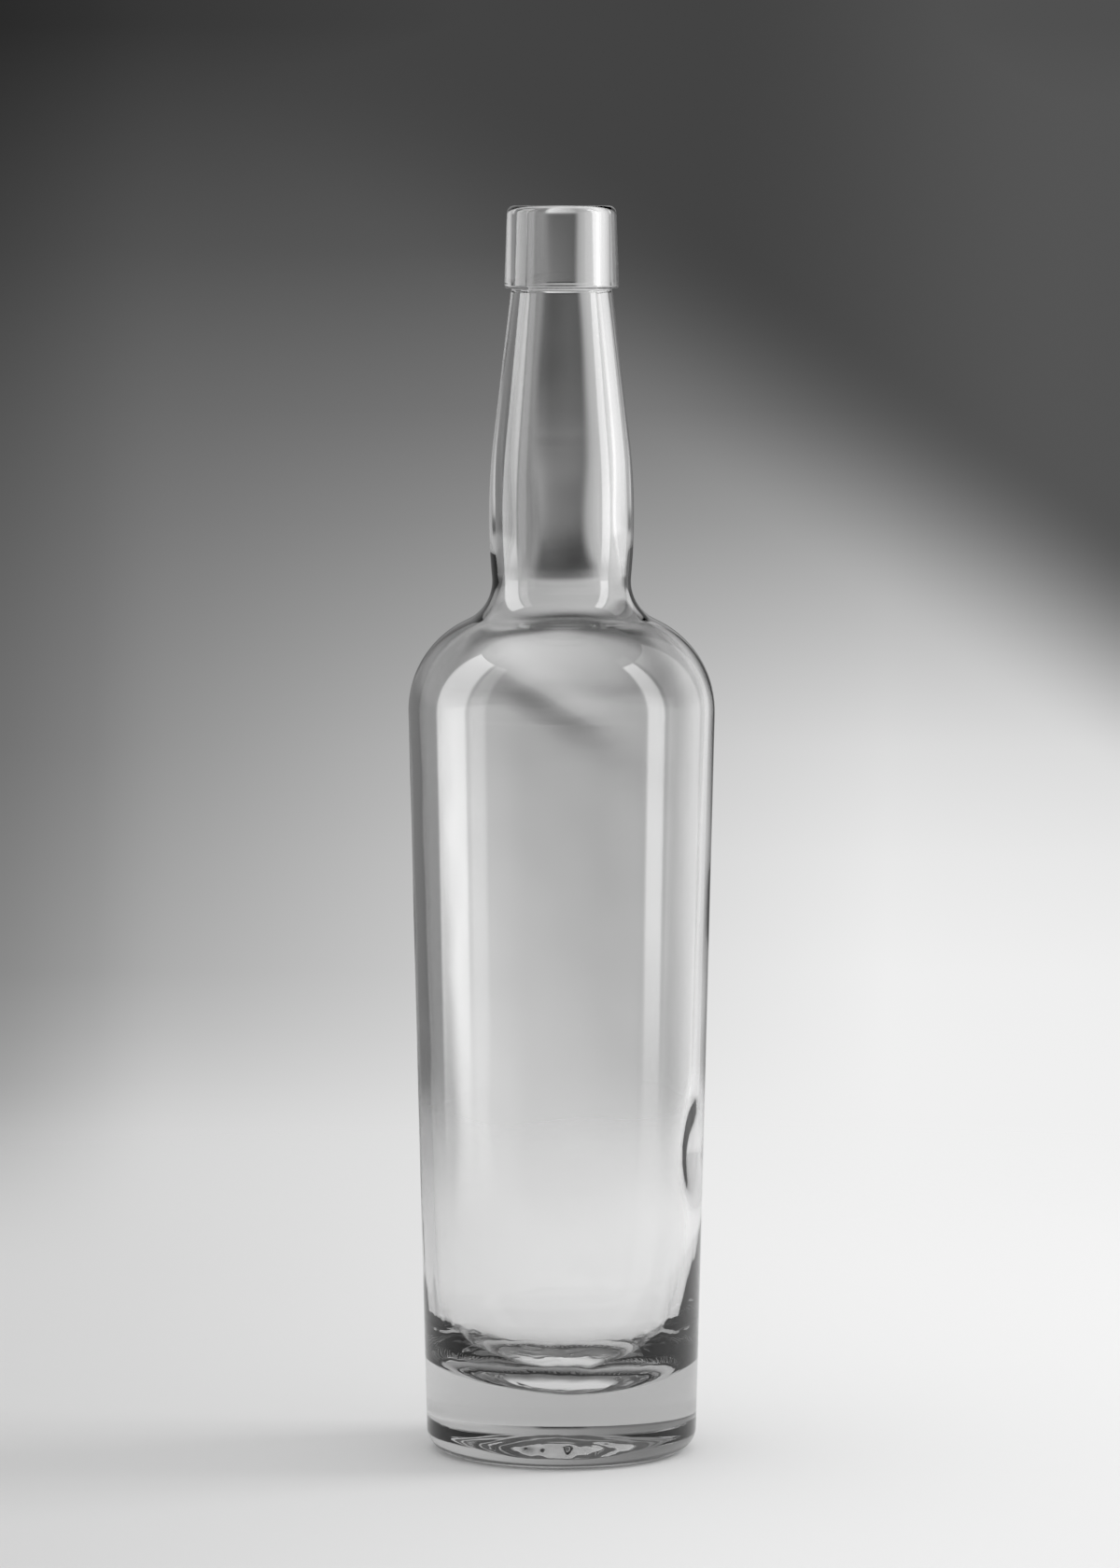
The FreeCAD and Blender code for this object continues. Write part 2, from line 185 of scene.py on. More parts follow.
@dataclass(frozen=True)
class ClearGlass:
    """Polished flint glass with the faint waves that a mould leaves on its skin.

    The body tone and the depth say how the mass of the glass darkens what is seen through it.
    """

    tint: tuple[float, float, float] = (0.98, 0.98, 0.98)
    body_tone: tuple[float, float, float] = (0.5, 0.5, 0.5)
    depth: float = 16.5
    refraction: float = 1.52
    polish: float = 0.0
    wave_scale: float = 55.0
    wave_detail: float = 2.0
    wave_height: float = 0.00002
    wave_stretch: tuple[float, float, float] = (1.0, 1.0, 0.35)

    def make(self) -> bpy.types.Material:
        """Build the material.

        Returns:
            The glass material.
        """
        material = bpy.data.materials.new("clear_glass")
        material.use_nodes = True
        nodes = material.node_tree.nodes
        links = material.node_tree.links
        shader = nodes["Principled BSDF"]
        shader.inputs["Base Color"].default_value = (*self.tint, 1.0)
        shader.inputs["Roughness"].default_value = self.polish
        shader.inputs["IOR"].default_value = self.refraction
        shader.inputs["Transmission Weight"].default_value = 1.0
        place = nodes.new("ShaderNodeTexCoord")
        stretch = nodes.new("ShaderNodeMapping")
        stretch.inputs["Scale"].default_value = self.wave_stretch
        waves = nodes.new("ShaderNodeTexNoise")
        waves.inputs["Scale"].default_value = self.wave_scale
        waves.inputs["Detail"].default_value = self.wave_detail
        bump = nodes.new("ShaderNodeBump")
        bump.inputs["Strength"].default_value = 1.0
        bump.inputs["Distance"].default_value = self.wave_height
        links.new(place.outputs["Object"], stretch.inputs["Vector"])
        links.new(stretch.outputs["Vector"], waves.inputs["Vector"])
        links.new(waves.outputs["Fac"], bump.inputs["Height"])
        links.new(bump.outputs["Normal"], shader.inputs["Normal"])
        mass = nodes.new("ShaderNodeVolumeAbsorption")
        mass.inputs["Color"].default_value = (*self.body_tone, 1.0)
        mass.inputs["Density"].default_value = self.depth
        links.new(mass.outputs["Volume"], nodes["Material Output"].inputs["Volume"])
        return material


@dataclass(frozen=True)
class Lump:
    """A soft swelling of the glass on its inner side, or a hollow where its amount is negative.

    Azimuth and width are in degrees round the axis, from 0 on the right over 90 at the back, and heights and
    the amount in millimetres. A slant makes it climb, by so many millimetres a degree. It fades out nearer to
    the axis than the radius calm.
    """

    azimuth: float
    height: float
    wide: float
    tall: float
    amount: float
    push: Push = Push.OUT
    slant: float = 0.0
    calm: float = 8.0

    def share(self, place: Vector) -> float:
        """Say how much of the swelling a place gets.

        Args:
            place: the place, in millimetres.

        Returns:
            The share, from 0 to 1.
        """
        turn = math.degrees(math.atan2(place.y, place.x)) - self.azimuth
        turn = (turn + CIRCLE / 2) % CIRCLE - CIRCLE / 2
        rise = place.z - self.height - self.slant * turn
        axis = min(1.0, math.hypot(place.x, place.y) / self.calm)
        return axis * math.exp(-(turn / self.wide) ** 2 - (rise / self.tall) ** 2)


@dataclass(frozen=True)
class Spacing:
    """How far apart the stations of the half section stand, in millimetres, from part to part."""

    dome: float = 1.2
    ring: float = 0.85
    rim: float = 0.5
    heel: float = 0.6
    wall: float = 11.0
    shoulder: float = 1.4
    foot: float = 0.9
    neck: float = 2.5
    neck_top: float = 3.5
    groove: float = 0.2
    band_foot: float = 0.35
    band_edge: float = 0.22
    band: float = 3.5
    band_corner: float = 0.4
    mouth: float = 0.8
    lip: float = 0.25
    bore: float = 3.5
    bore_foot: float = 3.0
    inner_foot: float = 1.2
    inner_shoulder: float = 1.5
    inner_wall: float = 5.0
    floor_corner: float = 1.2
    floor: float = 1.8


@dataclass
class Bottle:
    """The blown glass bottle, one closed skin that goes over the lip and down the inside.

    Lengths are in millimetres, as a glassmaker's drawing gives them. A knurl of the contact ring is a notch
    and the foot beside it, and takes four columns of the spun skin, two for each. The facings say how far a
    normal leans up or in, from -1 to 1, and tell the cavity's skin from the outer one. The crease is in
    degrees.
    """

    height: float
    spacing: Spacing = Spacing()
    base_radius: float = 35.2
    shoulder_radius: float = 39.9
    shoulder_height: float = 193.4
    shoulder_arc: float = 26.0
    foot_arc: float = 11.0
    bulge_radius: float = 18.85
    bulge_height: float = 245.0
    bulge_arc: float = 170.0
    neck_top_radius: float = 13.25
    finish_height: float = 21.2
    finish_low_radius: float = 14.85
    finish_top_radius: float = 14.2
    finish_corner: float = 2.0
    finish_edge: float = 0.7
    groove_height: float = 1.1
    groove_arc: float = 0.7
    heel_arc: float = 6.0
    contact_width: float = 3.2
    push_up: float = 5.5
    bore_radius: float = 9.25
    bore_length: float = 21.0
    lip_edge: float = 1.1
    neck_wall: float = 4.1
    foot_inner_arc: float = 14.0
    shoulder_wall: float = 2.75
    base_wall: float = 3.7
    floor_height: float = 16.5
    floor_arc: float = 80.0
    floor_corner: float = 20.0
    knurls: int = 72
    columns_per_knurl: int = 4
    doubles: float = 0.01
    knurl_depth: float = 0.45
    knurl_reach: float = 1.5
    knurl_margin: float = 1.05
    knurl_turn: float = 0.33
    crease: float = 26.0
    bowl_top: float = 45.0
    bowl_facing: float = 0.2
    wall_facing: float = -0.15
    dome_margin: float = 1.2
    dome_fade: float = 0.2
    ripple_length: float = 24.0
    ripple_height: float = 0.2
    ripple_detail: int = 1
    chill_length: float = 8.0
    chill_height: float = 1.6
    chill_detail: int = 2
    corner_height: float = 0.3
    corner_top: float = 62.0
    lumps: tuple[Lump, ...] = (
        # the thick sides of the neck
        Lump(180.0, 238.0, 60.0, 20.0, 1.3),
        Lump(0.0, 240.0, 60.0, 20.0, 1.0),
        # the thin wall round the neck's foot
        Lump(190.0, 226.0, 40.0, 10.0, -2.0),
        Lump(350.0, 226.0, 40.0, 10.0, -2.0),
        Lump(270.0, 218.0, 70.0, 11.0, -1.4),
        Lump(90.0, 216.0, 70.0, 10.0, -1.2),
        # the slanting streak across the shoulder
        Lump(257.0, 203.0, 45.0, 5.0, 0.25, slant=-0.36),
        # the blister low on the right
        Lump(348.0, 80.0, 13.0, 9.0, 1.3),
        # the thick corners between the wall and the floor
        Lump(0.0, 28.0, 60.0, 17.0, 3.0),
        Lump(180.0, 30.0, 50.0, 9.0, 1.1),
        # the lean of the floor, high on the left
        Lump(180.0, 16.0, 75.0, 12.0, 1.6, Push.UP),
        Lump(0.0, 16.0, 75.0, 12.0, -1.6, Push.UP),
    )

    def under(self, profile: Profile) -> None:
        """Draw the pushed-up underside, the contact ring and the heel.

        Args:
            profile: the half section, at the middle of the underside.
        """
        slope = self.slope()
        inward = Vector((-math.cos(slope), math.sin(slope)))
        heel = Vector((self.rim(), self.heel_arc))
        inside = Vector((self.rim() - self.contact_width, 0.0))
        dome_arc = (inside.x ** 2 + self.push_up ** 2) / (2 * self.push_up)
        profile.arc(Vector((0.0, self.push_up - dome_arc)), inside, self.spacing.dome)
        profile.line(Vector((self.rim() - self.knurl_reach, 0.0)), self.spacing.ring)
        profile.line(Vector((self.rim(), 0.0)), self.spacing.rim)
        profile.arc(heel, heel - inward * self.heel_arc, self.spacing.heel)

    def slope(self) -> float:
        """Return the lean of the side wall from upright."""
        return math.atan2(self.shoulder_radius - self.base_radius, self.shoulder_height)

    def rim(self) -> float:
        """Return the radius where the contact ring turns up into the heel."""
        return self.base_radius + self.heel_arc * (math.tan(self.slope()) - 1 / math.cos(self.slope()))

    def outside(self, profile: Profile) -> None:
        """Draw the side wall, the shoulder, the swollen neck, the groove and the band round the mouth.

        Args:
            profile: the half section, at the top of the heel.
        """
        slope = self.slope()
        wall_top = Vector((self.shoulder_radius, self.shoulder_height))
        shoulder = wall_top + Vector((-math.cos(slope), math.sin(slope))) * self.shoulder_arc
        bulge = Vector((self.bulge_radius - self.bulge_arc, self.bulge_height))
        foot = circles_meet(bulge, self.bulge_arc + self.foot_arc,
                            shoulder, self.shoulder_arc + self.foot_arc, Side.LEFT)
        band_foot = self.height - self.finish_height
        neck_top = Vector((self.neck_top_radius, band_foot - self.groove_height))
        inset = math.sqrt(self.groove_arc ** 2 - (self.groove_height / 2) ** 2)
        groove = Vector((self.neck_top_radius + inset, band_foot - self.groove_height / 2))
        edge = Vector((self.finish_low_radius - self.finish_edge, band_foot + self.finish_edge))
        corner = Vector((self.finish_top_radius - self.finish_corner, self.height - self.finish_corner))
        profile.line(wall_top, self.spacing.wall)
        profile.arc(shoulder, towards(shoulder, foot, self.shoulder_arc), self.spacing.shoulder)
        profile.arc(foot, towards(foot, bulge, self.foot_arc), self.spacing.foot)
        profile.arc(bulge, tangent_point(neck_top, bulge, self.bulge_arc, Side.RIGHT), self.spacing.neck)
        profile.line(neck_top, self.spacing.neck_top)
        profile.arc(groove, Vector((self.neck_top_radius, band_foot)), self.spacing.groove)
        profile.line(Vector((edge.x, band_foot)), self.spacing.band_foot)
        profile.arc(edge, edge + Vector((self.finish_edge, 0.0)), self.spacing.band_edge)
        profile.line(Vector((self.finish_top_radius, corner.y)), self.spacing.band)
        profile.arc(corner, Vector((corner.x, self.height)), self.spacing.band_corner)
        profile.line(Vector((self.bore_radius + self.lip_edge, self.height)), self.spacing.mouth)

    def inside(self, profile: Profile) -> None:
        """Draw the lip, the bore, the inner neck, the inner wall and the bowl of the floor.

        Args:
            profile: the half section, at the inner edge of the mouth.
        """
        arc = self.shoulder_arc - self.shoulder_wall
        bulge_arc = self.bulge_arc - self.neck_wall
        wall_top = Vector((self.shoulder_radius - self.shoulder_wall, self.shoulder_height))
        wall_foot = Vector((self.base_radius - self.base_wall, 0.0))
        slope = math.atan2(wall_top.x - wall_foot.x, wall_top.y)
        inward = Vector((-math.cos(slope), math.sin(slope)))
        climb = Vector((math.sin(slope), math.cos(slope)))
        lip = Vector((self.bore_radius + self.lip_edge, self.height - self.lip_edge))
        bore_bottom = Vector((self.bore_radius, self.height - self.bore_length))
        bulge = Vector((self.bulge_radius - self.bulge_arc, self.bulge_height))
        shoulder = wall_top + inward * arc
        foot = circles_meet(bulge, bulge_arc + self.foot_inner_arc,
                            shoulder, arc + self.foot_inner_arc, Side.LEFT)
        floor = Vector((0.0, self.floor_height + self.floor_arc))
        gap = wall_foot + inward * self.floor_corner - floor
        reach = self.floor_arc - self.floor_corner
        rise = -gap.dot(climb) - math.sqrt(gap.dot(climb) ** 2 - gap.length_squared + reach ** 2)
        corner = wall_foot + inward * self.floor_corner + climb * rise
        profile.arc(lip, lip - Vector((self.lip_edge, 0.0)), self.spacing.lip)
        profile.line(bore_bottom, self.spacing.bore)
        profile.line(tangent_point(bore_bottom, bulge, bulge_arc, Side.RIGHT), self.spacing.bore_foot)
        profile.arc(bulge, towards(foot, bulge, self.foot_inner_arc), self.spacing.neck)
        profile.arc(foot, towards(foot, shoulder, self.foot_inner_arc), self.spacing.inner_foot)
        profile.arc(shoulder, wall_top, self.spacing.inner_shoulder)
        profile.line(corner - inward * self.floor_corner, self.spacing.inner_wall)
        profile.arc(corner, towards(floor, corner, self.floor_arc), self.spacing.floor_corner)
        profile.arc(floor, Vector((0.0, self.floor_height)), self.spacing.floor)

    def profile(self) -> list[Vector]:
        """Draw the whole half section.

        Returns:
            Its stations, from the middle of the underside to the middle of the floor.
        """
        profile = Profile(Vector((0.0, self.push_up)))
        self.under(profile)
        self.outside(profile)
        self.inside(profile)
        return profile.stations

    def blow(self) -> bpy.types.Object:
        """Extrude the half section from one point and spin it round the axis into a closed skin.

        Returns:
            The bottle's object.
        """
        stations = [station * MM for station in self.profile()]
        deselect()
        bpy.ops.mesh.primitive_plane_add(size=MM, location=(stations[0].x, 0.0, stations[0].y))
        bottle = bpy.context.object
        bpy.ops.object.transform_apply(location=True, rotation=True, scale=True)
        bpy.ops.object.mode_set(mode="EDIT")
        bpy.ops.mesh.select_all(action="SELECT")
        bpy.ops.mesh.merge(type="CENTER")
        for before, after in zip(stations, stations[1:]):
            move = {"value": (after.x - before.x, 0.0, after.y - before.y)}
            bpy.ops.mesh.extrude_region_move(TRANSFORM_OT_translate=move)
        bpy.ops.mesh.select_all(action="SELECT")
        bpy.ops.mesh.spin(steps=self.knurls * self.columns_per_knurl, angle=math.tau,
                          center=(0.0, 0.0, 0.0), axis=(0.0, 0.0, 1.0))
        bpy.ops.mesh.select_all(action="SELECT")
        bpy.ops.mesh.remove_doubles(threshold=self.doubles * MM)
        bpy.ops.mesh.normals_make_consistent(inside=False)
        bpy.ops.object.mode_set(mode="OBJECT")
        bpy.ops.object.shade_smooth()
        bottle.name = "blown_glass"
        return bottle

    def knurl(self, bottle: bpy.types.Object) -> None:
        """Raise every other pair of columns of the contact ring's outer rim, which leaves a row of feet.

        Each column then turns towards its neighbour of the other level, so that the notches are steep.

        Args:
            bottle: the bottle's object.
        """
        columns = self.knurls * self.columns_per_knurl
        reach = self.knurl_reach * self.knurl_margin
        low = (self.rim() - reach) * MM
        high = (self.rim() + reach) * MM
        rings: dict[float, list[int]] = {}
        turns: dict[int, list[int]] = {}
        for vertex in bottle.data.vertices:
            place = vertex.co
            radius = math.hypot(place.x, place.y)
            if not low < radius < high or place.z > self.knurl_depth * MM:
                continue
            column = round(math.atan2(place.y, place.x) / math.tau * columns) % self.columns_per_knurl
            turns.setdefault(column % 2, []).append(vertex.index)
            if column < self.columns_per_knurl // 2:
                rings.setdefault(round(place.z, RING_DIGITS), []).append(vertex.index)
        for level, indices in rings.items():
            select_vertices(bottle, indices)
            bpy.ops.object.mode_set(mode="EDIT")
            bpy.ops.transform.translate(value=(0.0, 0.0, self.knurl_depth * MM - level))
            bpy.ops.object.mode_set(mode="OBJECT")
        for odd, indices in turns.items():
            select_vertices(bottle, indices)
            bpy.ops.object.mode_set(mode="EDIT")
            # With no window, the operator turns the other way.
            bpy.ops.transform.rotate(value=(1 - 2 * odd) * self.knurl_turn * math.tau / columns,
                                     orient_axis="Z", center_override=(0.0, 0.0, 0.0))
            bpy.ops.object.mode_set(mode="OBJECT")

    def inner_skin(self, bottle: bpy.types.Object) -> dict[int, Vector]:
        """Find the vertices of the cavity's wall and floor, below the bore.

        Args:
            bottle: the bottle's object.

        Returns:
            Their places, in millimetres.
        """
        skin = {}
        for vertex in bottle.data.vertices:
            radius = math.hypot(vertex.co.x, vertex.co.y)
            facing = vertex.normal.xy.dot(vertex.co.xy) / radius if radius > MM else 0.0
            bowl = vertex.co.z < self.bowl_top * MM and vertex.normal.z > self.bowl_facing
            wall = facing < self.wall_facing and vertex.co.z < (self.height - self.bore_length) * MM
            if vertex.co.z > 2 * self.push_up * MM and (bowl or wall):
                skin[vertex.index] = vertex.co / MM
        return skin

    def blow_uneven(self, bottle: bpy.types.Object) -> None:
        """Make the wall uneven from inside, as blown glass is, ripple it and put chill marks in the base.

        Args:
            bottle: the bottle's object.
        """
        skin = self.inner_skin(bottle)
        under = self.underside(bottle)
        for lump in self.lumps:
            displace(bottle, {index: lump.share(place) for index, place in skin.items()},
                     lump.amount * MM, lump.push)
        ripple = bpy.data.textures.new("ripple", "CLOUDS")
        ripple.noise_scale = self.ripple_length * MM
        ripple.noise_depth = self.ripple_detail
        quiet = self.height - self.bore_length
        weights = {index: min(1.0, (quiet - place.z) / self.bore_length) for index, place in skin.items()}
        displace(bottle, weights, self.ripple_height * MM, Push.OUT, ripple)
        chill = bpy.data.textures.new("chill_marks", "CLOUDS")
        chill.noise_scale = self.chill_length * MM
        chill.noise_depth = self.chill_detail
        displace(bottle, under, self.chill_height * MM, Push.OUT, chill)
        wedge = {index: self.corner_share(place) for index, place in skin.items()}
        displace(bottle, wedge, self.corner_height * MM, Push.OUT, chill)

    def corner_share(self, place: Vector) -> float:
        """Say how strongly a place of the cavity carries the chill marks of the corner of wall and floor.

        Args:
            place: the place, in millimetres.

        Returns:
            The share, from 0 to 1.
        """
        rise = min(1.0, max(0.0, (self.corner_top - place.z) / (self.corner_top - self.bowl_top)))
        reach = min(1.0, max(0.0, (math.hypot(place.x, place.y) - self.bore_radius) / self.bore_radius))
        return rise * reach

    def underside(self, bottle: bpy.types.Object) -> dict[int, float]:
        """Weigh the vertices of the pushed-up underside, fading to the contact ring.

        Args:
            bottle: the bottle's object.

        Returns:
            Their weights, from 0 to 1.
        """
        weights = {}
        for vertex in bottle.data.vertices:
            radius = math.hypot(vertex.co.x, vertex.co.y)
            low = vertex.co.z < self.dome_margin * self.push_up * MM
            if low and radius < (self.rim() - self.contact_width) * MM:
                weights[vertex.index] = min(1.0, vertex.co.z / (self.dome_fade * self.push_up * MM))
        return weights

    def build(self, finish: ClearGlass) -> bpy.types.Object:
        """Blow, knurl and dress the bottle, and let it stand for the CAD node.

        Args:
            finish: the glass.

        Returns:
            The bottle's object.
        """
        bottle = self.blow()
        self.blow_uneven(bottle)
        self.knurl(bottle)
        deselect()
        bottle.select_set(True)
        bpy.context.view_layer.objects.active = bottle
        bpy.ops.object.shade_smooth_by_angle(angle=math.radians(self.crease))
        bottle.data.materials.append(finish.make())
        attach(bottle, BODY)
        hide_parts(NODE)
        return bottle


def deselect() -> None:
    """Leave nothing selected."""
    bpy.ops.object.select_all(action="DESELECT")


def displace(piece: bpy.types.Object, weights: dict[int, float], amount: float, push: Push,
             texture: bpy.types.Texture | None = None) -> None:
    """Move vertices of a piece by their weights, with a modifier that is applied.

    Args:
        piece: the object, in object mode.
        weights: a weight for each vertex that may move.
        amount: how far a vertex of weight 1 moves, in metres.
        push: which way it moves.
        texture: a procedural texture that varies the move, about its middle grey.
    """
    group = piece.vertex_groups.new(name="moved")
    for index, weight in weights.items():
        if weight > LEAST_WEIGHT:
            group.add([index], weight, "REPLACE")
    modifier = piece.modifiers.new("moved", "DISPLACE")
    modifier.vertex_group = group.name
    modifier.direction = push.value
    modifier.strength = amount
    modifier.mid_level = 0.0
    if texture:
        modifier.texture = texture
        modifier.texture_coords = "LOCAL"
        modifier.mid_level = TEXTURE_MIDDLE
    bpy.context.view_layer.objects.active = piece
    bpy.ops.object.modifier_apply(modifier=modifier.name)
    piece.vertex_groups.clear()


def select_vertices(piece: bpy.types.Object, indices: list[int]) -> None:
    """Select only the given vertices of a piece.

    Args:
        piece: the object, in object mode.
        indices: the vertices.
    """
    mesh = piece.data
    mesh.polygons.foreach_set("select", [False] * len(mesh.polygons))
    mesh.edges.foreach_set("select", [False] * len(mesh.edges))
    mesh.vertices.foreach_set("select", [False] * len(mesh.vertices))
    for index in indices:
        mesh.vertices[index].select = True


class Graph:
    """A short way to add and join the nodes of a shader tree."""

    def __init__(self, tree: bpy.types.NodeTree) -> None:
        """Take the tree and empty it."""
        self.tree = tree
        tree.nodes.clear()

    def node(self, kind: str, **settings: object) -> bpy.types.Node:
        """Add a node.

        Args:
            kind: its type.
            settings: its properties by name.

        Returns:
            The node.
        """
        made = self.tree.nodes.new(kind)
        for name, value in settings.items():
            setattr(made, name, value)
        return made

    def put(self, source: Value, target: bpy.types.NodeSocket) -> None:
        """Give a socket a value or a link.

        Args:
            source: the value, or the socket that it comes from.
            target: the socket.
        """
        if isinstance(source, bpy.types.NodeSocket):
            self.tree.links.new(source, target)
        else:
            target.default_value = source

    def maths(self, operation: str, first: Value, second: Value = 0.0,
              clamp: bool = False) -> bpy.types.NodeSocket:
        """Add a maths node.

        Args:
            operation: the node's operation.
            first: first value or socket.
            second: second value or socket.
            clamp: whether the result stays between 0 and 1.

        Returns:
            The result's socket.
        """
        made = self.node("ShaderNodeMath", operation=operation, use_clamp=clamp)
        self.put(first, made.inputs[0])
        self.put(second, made.inputs[1])
        return made.outputs[0]

    def between(self, value: Value, low: float, high: float) -> bpy.types.NodeSocket:
        """Make a smooth rise of a value from one place to another.

        Args:
            value: the value.
            low: where the rise starts.
            high: where it ends, which may be the smaller of the two.

        Returns:
            The rise's socket, from 0 to 1.
        """
        made = self.node("ShaderNodeMapRange", interpolation_type="SMOOTHSTEP", clamp=True)
        self.put(value, made.inputs["Value"])
        first, last, start, end = (low, high, 0.0, 1.0) if low < high else (high, low, 1.0, 0.0)
        made.inputs["From Min"].default_value = first
        made.inputs["From Max"].default_value = last
        made.inputs["To Min"].default_value = start
        made.inputs["To Max"].default_value = end
        return made.outputs["Result"]

    def stretch(self, value: Value, span: tuple[float, float],
                soft: tuple[float, float]) -> bpy.types.NodeSocket:
        """Mark the stretch of a value between two places, with soft ends inside it.

        Args:
            value: the value.
            span: where the stretch starts and ends.
            soft: how long its rise and its fall are.

        Returns:
            The mark's socket, from 0 outside to 1 inside.
        """
        start, end = span
        return self.maths("MULTIPLY", self.between(value, start, start + soft[0]),
                          self.between(value, end, end - soft[1]))

    def azimuth(self, across: bpy.types.NodeSocket, ahead: bpy.types.NodeSocket) -> bpy.types.NodeSocket:
        """Return the azimuth in degrees, 0 straight behind the bottle and positive to its right."""
        return self.maths("MULTIPLY", self.maths("ARCTAN2", across, ahead), DEGREES)

    def ramp(self, value: Value, stops: Stops) -> bpy.types.NodeSocket:
        """Turn a value into a grey.

        Args:
            value: the value.
            stops: the places along it, each with its grey.

        Returns:
            The grey's socket.
        """
        made = self.node("ShaderNodeValToRGB")
        elements = made.color_ramp.elements
        for place, grey in stops[2:]:
            elements.new(place).color = (grey, grey, grey, 1.0)
        for element, (place, grey) in zip(elements, stops):
            element.position = place
            element.color = (grey, grey, grey, 1.0)
        self.put(value, made.inputs["Fac"])
        return made.outputs["Color"]

    def surface(self, share: Value, shader: bpy.types.NodeSocket) -> None:
        """Blend a shader with nothing at all and make it the material's surface.

        Args:
            share: how much of the shader there is, from 0 to 1.
            shader: the shader.
        """
        clear = self.node("ShaderNodeBsdfTransparent")
        blend = self.node("ShaderNodeMixShader")
        self.put(share, blend.inputs["Fac"])
        self.put(clear.outputs["BSDF"], blend.inputs[1])
        self.put(shader, blend.inputs[2])
        output = self.node("ShaderNodeOutputMaterial")
        self.put(blend.outputs["Shader"], output.inputs["Surface"])

    def mix(self, share: Value, first: Value, second: Value) -> bpy.types.NodeSocket:
        """Blend two values.

        Args:
            share: how much of the second there is, from 0 to 1.
            first: the first value.
            second: the second value.

        Returns:
            The blend's socket.
        """
        made = self.node("ShaderNodeMix", data_type="FLOAT")
        self.put(share, made.inputs["Factor"])
        self.put(first, made.inputs["A"])
        self.put(second, made.inputs["B"])
        return made.outputs["Result"]


def outer_mirror(graph: Graph, path: bpy.types.Node) -> bpy.types.NodeSocket:
    """Return how much of a lamp a ray sees: all in the outer skin, little after a way through the glass.

    Args:
        graph: the tree.
        path: its light path node.

    Returns:
        The share's socket.
    """
    mirrored = graph.between(path.outputs["Glossy Depth"], NO_TIMES, ONCE)
    direct = graph.between(path.outputs["Diffuse Depth"], ONCE, NO_TIMES)
    inside = graph.between(path.outputs["Transmission Depth"], NO_TIMES, ONCE)
    share = graph.mix(inside, 1.0, INNER_SHARE)
    return graph.maths("MULTIPLY", graph.maths("MULTIPLY", mirrored, direct), share)


@dataclass(frozen=True)
class LightBox:
    """A soft box that only reflections see, given by where it stands round the bottle, in degrees.

    One of negative strength is a flag, which takes light away.
    """

    name: str
    start: float
    end: float
    bottom: float
    top: float
    strength: float
    soft_start: float = 4.0
    soft_end: float = 4.0
    soft_bottom: float = 0.5
    soft_top: float = 0.5


